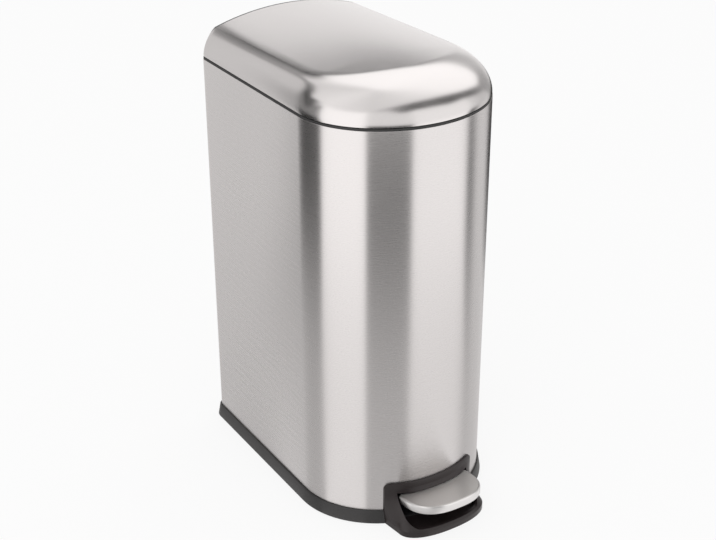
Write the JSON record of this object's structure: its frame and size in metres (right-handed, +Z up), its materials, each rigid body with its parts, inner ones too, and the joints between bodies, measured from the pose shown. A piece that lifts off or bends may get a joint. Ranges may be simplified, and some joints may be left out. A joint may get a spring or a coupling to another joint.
{
  "type": "pedal bin",
  "caption": "D-shaped brushed steel pedal bin with a domed hinged lid, inner bucket, black base and a front pedal that lifts the lid through a lever and push rod.",
  "frame": {"origin": "on the floor, at the centre of the overall plan", "axes": "+Z up, +X across the width, -Y towards the front where the pedal is"},
  "size_m": [0.281, 0.4544, 0.6293],
  "materials": {
    "steel": "satin brushed stainless sheet",
    "zinc_steel": "zinc plated mild steel",
    "plastic": "fine grained black polypropylene",
    "bezel_plastic": "satin black moulding",
    "bucket_plastic": "matte black polypropylene",
    "rubber": "matte"
  },
  "bodies": {
    "bin": {"outer_shell": "steel", "base_pan": "plastic", "foot_front_left": "rubber", "foot_front_right": "rubber", "foot_rear_left": "rubber", "foot_rear_right": "rubber", "pedal_bezel": "bezel_plastic", "top_collar": "plastic", "raised_floor": "plastic", "rod_channel_cover": "plastic", "rod_guide_lower": "plastic", "rod_guide_upper": "plastic", "axle_saddle_left": "plastic", "axle_saddle_right": "plastic", "inner_bucket": "bucket_plastic"},
    "lid": {"lid_shell": "steel", "lid_rear_cap": "plastic", "lid_liner": "plastic", "lid_bracket": "zinc_steel", "bracket_screw_front_left": "zinc_steel", "bracket_screw_front_right": "zinc_steel", "bracket_screw_rear_left": "zinc_steel", "bracket_screw_rear_right": "zinc_steel", "crank_pin": "zinc_steel", "hinge_pin_left": "zinc_steel", "hinge_pin_right": "zinc_steel", "lid_bumper_front": "rubber", "lid_bumper_left": "rubber", "lid_bumper_right": "rubber"},
    "pedal_lever": {"pedal_plate": "steel", "pedal_carrier": "plastic", "lever_bar_left": "zinc_steel", "lever_bar_right": "zinc_steel", "pedal_rivet_front": "zinc_steel", "pedal_rivet_rear": "zinc_steel", "pedal_axle": "zinc_steel", "axle_spacer_left": "plastic", "axle_spacer_right": "plastic", "axle_clip_left": "zinc_steel", "axle_clip_right": "zinc_steel", "lever_pin": "zinc_steel"},
    "push_rod": {"push_rod": "zinc_steel", "rod_top_link": "zinc_steel", "rod_bottom_eye": "zinc_steel"}
  },
  "joints": [
    {"name": "lid_hinge", "type": "hinge", "parent": "bin", "child": "lid", "pos_m": [0, 0.22275, 0.575], "axis": [-1, 0, 0], "range_deg": [0, 78]},
    {"name": "pedal_pivot", "type": "hinge", "parent": "bin", "child": "pedal_lever", "pos_m": [0, -0.10275, 0.045], "axis": [1, 0, 0], "range_deg": [0, 7.24]},
    {"name": "rod_slide", "type": "slide", "parent": "bin", "child": "push_rod", "axis": [0, 0, 1], "range_m": [0, 0.03777]}
  ],
  "couplings": [
    {"joint": "pedal_pivot", "follows": "lid_hinge", "ratio": 0.0927},
    {"joint": "rod_slide", "follows": "lid_hinge", "m_per_rad": 0.027736}
  ]
}
